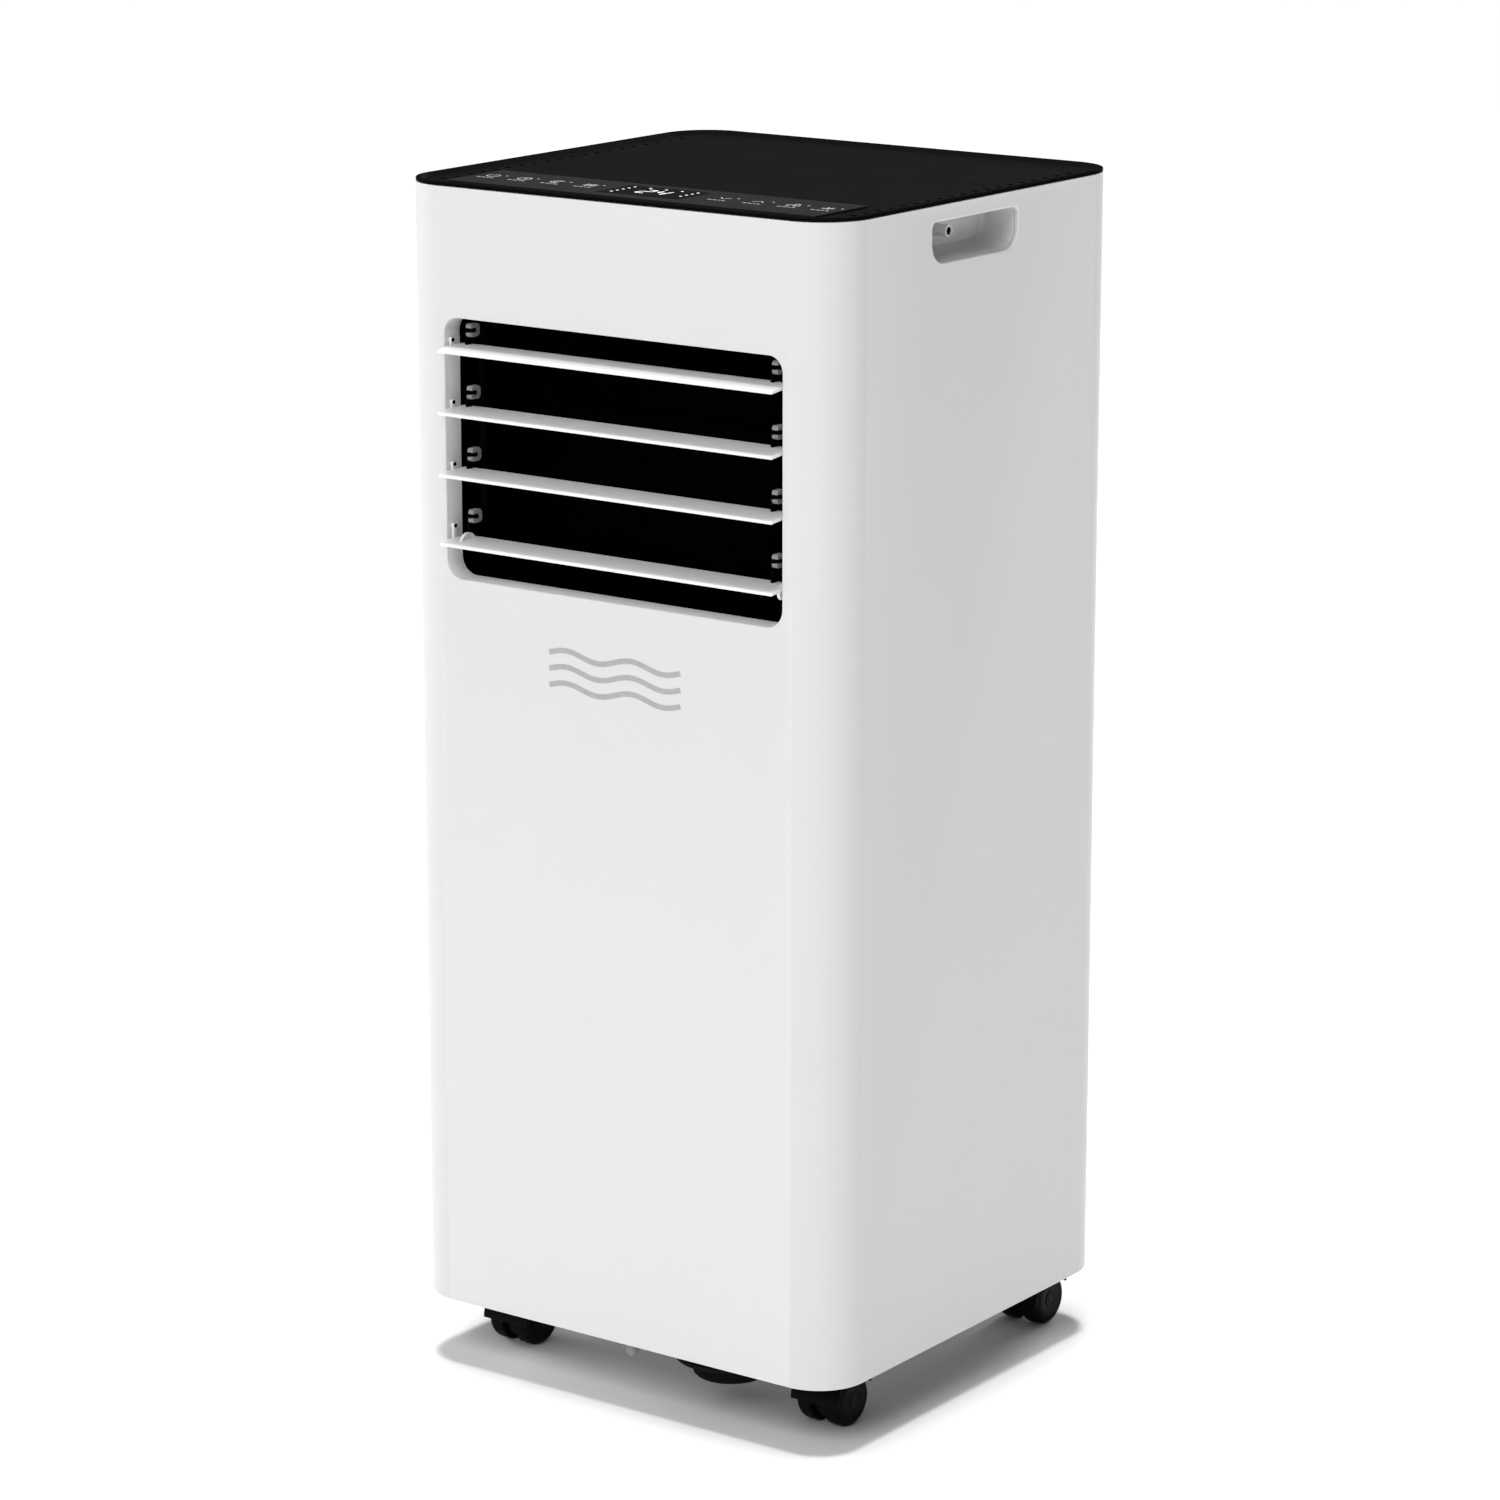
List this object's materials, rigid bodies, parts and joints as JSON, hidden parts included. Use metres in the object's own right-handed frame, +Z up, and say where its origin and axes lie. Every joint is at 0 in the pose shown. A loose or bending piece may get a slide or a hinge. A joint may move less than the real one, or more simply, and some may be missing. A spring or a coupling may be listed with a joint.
{
  "type": "portable air conditioner",
  "caption": "Tall wheeled room air conditioner with a louvred front outlet, touch controls on top, side handles, and a rear filter grille and exhaust port.",
  "frame": {"origin": "on the floor under the middle of the object's box", "axes": "+Z up, +X to the right seen from the front, the front outlet faces -Y"},
  "size_m": [0.298, 0.2958, 0.6872],
  "materials": {
    "white_plastic": "satin moulded white",
    "black_plastic": "satin moulded black",
    "caster_plastic": "satin moulded black",
    "caster_tread": "smooth moulded black",
    "strip_panel": "satin dark grey with printed symbols",
    "display_glass": "polished black with white digits",
    "link_plastic": "moulded grey",
    "galvanised_steel": "dull zinc",
    "aluminium_fins": "bare fins",
    "copper_pipe": "bare copper",
    "painted_steel": "black paint",
    "rubber": "dull",
    "circuit_board": "green solder mask",
    "filter_mesh": "woven nylon mesh in a frame",
    "clear_plastic": "translucent"
  },
  "bodies": {
    "blade_1": {"louvre_blade_1": "white_plastic"},
    "blade_2": {"louvre_blade_2": "white_plastic"},
    "blade_3": {"louvre_blade_3": "white_plastic"},
    "blade_4": {"louvre_blade_4": "white_plastic"},
    "link_left": {"link_bar_left": "link_plastic"},
    "link_right": {"link_bar_right": "link_plastic"},
    "caster_front_left": {"caster_fork_front_left": "caster_plastic"},
    "wheel_front_left_a": {"caster_wheel_front_left_a": "caster_tread"},
    "wheel_front_left_b": {"caster_wheel_front_left_b": "caster_tread"},
    "caster_front_right": {"caster_fork_front_right": "caster_plastic"},
    "wheel_front_right_a": {"caster_wheel_front_right_a": "caster_tread"},
    "wheel_front_right_b": {"caster_wheel_front_right_b": "caster_tread"},
    "caster_rear_left": {"caster_fork_rear_left": "caster_plastic"},
    "wheel_rear_left_a": {"caster_wheel_rear_left_a": "caster_tread"},
    "wheel_rear_left_b": {"caster_wheel_rear_left_b": "caster_tread"},
    "caster_rear_right": {"caster_fork_rear_right": "caster_plastic"},
    "wheel_rear_right_a": {"caster_wheel_rear_right_a": "caster_tread"},
    "wheel_rear_right_b": {"caster_wheel_rear_right_b": "caster_tread"},
    "upper_fan": {"upper_fan_wheel": "black_plastic"},
    "lower_fan": {"lower_fan_wheel": "black_plastic"},
    "slinger": {"slinger_wheel": "white_plastic"},
    "filter_cover": {"filter_cover": "white_plastic", "air_filter": "filter_mesh"},
    "drain_plug": {"drain_plug": "rubber"},
    "lower_drain_plug": {"lower_drain_plug": "rubber"},
    "cabinet": {"accumulator": "painted_steel", "base_pan": "black_plastic", "compressor": "painted_steel", "compressor_grommet_1": "rubber", "compressor_grommet_2": "rubber", "compressor_grommet_3": "rubber", "condenser": "aluminium_fins", "control_board": "circuit_board", "control_strip": "strip_panel", "cord_gland": "black_plastic", "discharge_pipe": "copper_pipe", "display_window": "display_glass", "drain_nub": "clear_plastic", "drip_tray": "white_plastic", "electrical_box": "galvanised_steel", "evaporator": "aluminium_fins", "exhaust_collar": "white_plastic", "float_switch": "white_plastic", "front_casing": "white_plastic", "handle_cup_left": "white_plastic", "handle_cup_right": "white_plastic", "liquid_pipe": "copper_pipe", "lower_fan_motor": "galvanised_steel", "lower_scroll": "white_plastic", "middle_deck": "galvanised_steel", "outlet_duct": "black_plastic", "rear_casing": "white_plastic", "run_capacitor": "galvanised_steel", "slinger_motor": "galvanised_steel", "suction_pipe": "copper_pipe", "sump_cup": "black_plastic", "swing_motor": "galvanised_steel", "top_cover": "black_plastic", "upper_fan_motor": "galvanised_steel", "upper_scroll": "black_plastic"}
  },
  "joints": [
    {"name": "louvre_4_tilt", "type": "hinge", "parent": "cabinet", "child": "blade_4", "pos_m": [0, -0.135, 0.4952], "axis": [1, 0, 0], "range_deg": [-75, 12]},
    {"name": "louvre_1_tilt", "type": "hinge", "parent": "cabinet", "child": "blade_1", "pos_m": [0, -0.135, 0.5996], "axis": [1, 0, 0], "range_deg": [-75, 12]},
    {"name": "louvre_2_tilt", "type": "hinge", "parent": "cabinet", "child": "blade_2", "pos_m": [0, -0.135, 0.5648], "axis": [1, 0, 0], "range_deg": [-75, 12]},
    {"name": "louvre_3_tilt", "type": "hinge", "parent": "cabinet", "child": "blade_3", "pos_m": [0, -0.135, 0.53], "axis": [1, 0, 0], "range_deg": [-75, 12]},
    {"name": "link_left_pin", "type": "hinge", "parent": "blade_4", "child": "link_left", "pos_m": [-0.104, -0.1287, 0.5007], "axis": [1, 0, 0], "range_deg": [-12, 75]},
    {"name": "link_right_pin", "type": "hinge", "parent": "blade_4", "child": "link_right", "pos_m": [0.104, -0.1287, 0.5007], "axis": [1, 0, 0], "range_deg": [-12, 75]},
    {"name": "caster_front_left_swivel", "type": "hinge", "parent": "cabinet", "child": "caster_front_left", "pos_m": [-0.1105, -0.0964, 0.04], "axis": [0, 0, 1], "continuous": true},
    {"name": "wheel_front_left_a_roll", "type": "hinge", "parent": "caster_front_left", "child": "wheel_front_left_a", "pos_m": [-0.1205, -0.0844, 0.0155], "axis": [1, 0, 0], "continuous": true},
    {"name": "wheel_front_left_b_roll", "type": "hinge", "parent": "caster_front_left", "child": "wheel_front_left_b", "pos_m": [-0.1005, -0.0844, 0.0155], "axis": [1, 0, 0], "continuous": true},
    {"name": "caster_front_right_swivel", "type": "hinge", "parent": "cabinet", "child": "caster_front_right", "pos_m": [0.1105, -0.0964, 0.04], "axis": [0, 0, 1], "continuous": true},
    {"name": "wheel_front_right_a_roll", "type": "hinge", "parent": "caster_front_right", "child": "wheel_front_right_a", "pos_m": [0.1005, -0.0844, 0.0155], "axis": [1, 0, 0], "continuous": true},
    {"name": "wheel_front_right_b_roll", "type": "hinge", "parent": "caster_front_right", "child": "wheel_front_right_b", "pos_m": [0.1205, -0.0844, 0.0155], "axis": [1, 0, 0], "continuous": true},
    {"name": "caster_rear_left_swivel", "type": "hinge", "parent": "cabinet", "child": "caster_rear_left", "pos_m": [-0.1105, 0.1068, 0.04], "axis": [0, 0, 1], "continuous": true},
    {"name": "wheel_rear_left_a_roll", "type": "hinge", "parent": "caster_rear_left", "child": "wheel_rear_left_a", "pos_m": [-0.1205, 0.1188, 0.0155], "axis": [1, 0, 0], "continuous": true},
    {"name": "wheel_rear_left_b_roll", "type": "hinge", "parent": "caster_rear_left", "child": "wheel_rear_left_b", "pos_m": [-0.1005, 0.1188, 0.0155], "axis": [1, 0, 0], "continuous": true},
    {"name": "caster_rear_right_swivel", "type": "hinge", "parent": "cabinet", "child": "caster_rear_right", "pos_m": [0.1105, 0.1068, 0.04], "axis": [0, 0, 1], "continuous": true},
    {"name": "wheel_rear_right_a_roll", "type": "hinge", "parent": "caster_rear_right", "child": "wheel_rear_right_a", "pos_m": [0.1005, 0.1188, 0.0155], "axis": [1, 0, 0], "continuous": true},
    {"name": "wheel_rear_right_b_roll", "type": "hinge", "parent": "caster_rear_right", "child": "wheel_rear_right_b", "pos_m": [0.1205, 0.1188, 0.0155], "axis": [1, 0, 0], "continuous": true},
    {"name": "upper_fan_spin", "type": "hinge", "parent": "cabinet", "child": "upper_fan", "pos_m": [0, 0, 0.545], "axis": [0, 1, 0], "continuous": true},
    {"name": "lower_fan_spin", "type": "hinge", "parent": "cabinet", "child": "lower_fan", "pos_m": [0, 0.06, 0.372], "axis": [0, 1, 0], "continuous": true},
    {"name": "slinger_spin", "type": "hinge", "parent": "cabinet", "child": "slinger", "pos_m": [0.085, 0.057, 0.074], "axis": [0, 1, 0], "continuous": true},
    {"name": "filter_cover_pull", "type": "slide", "parent": "cabinet", "child": "filter_cover", "axis": [0, 1, 0], "range_m": [0, 0.06]},
    {"name": "drain_plug_pull", "type": "slide", "parent": "cabinet", "child": "drain_plug", "axis": [0, 1, 0], "range_m": [0, 0.025]},
    {"name": "lower_drain_plug_pull", "type": "slide", "parent": "cabinet", "child": "lower_drain_plug", "axis": [0, 1, 0], "range_m": [0, 0.025]}
  ],
  "couplings": [
    {"joint": "louvre_1_tilt", "follows": "louvre_4_tilt", "ratio": 1},
    {"joint": "louvre_2_tilt", "follows": "louvre_4_tilt", "ratio": 1},
    {"joint": "louvre_3_tilt", "follows": "louvre_4_tilt", "ratio": 1},
    {"joint": "link_left_pin", "follows": "louvre_4_tilt", "ratio": -1},
    {"joint": "link_right_pin", "follows": "louvre_4_tilt", "ratio": -1}
  ]
}
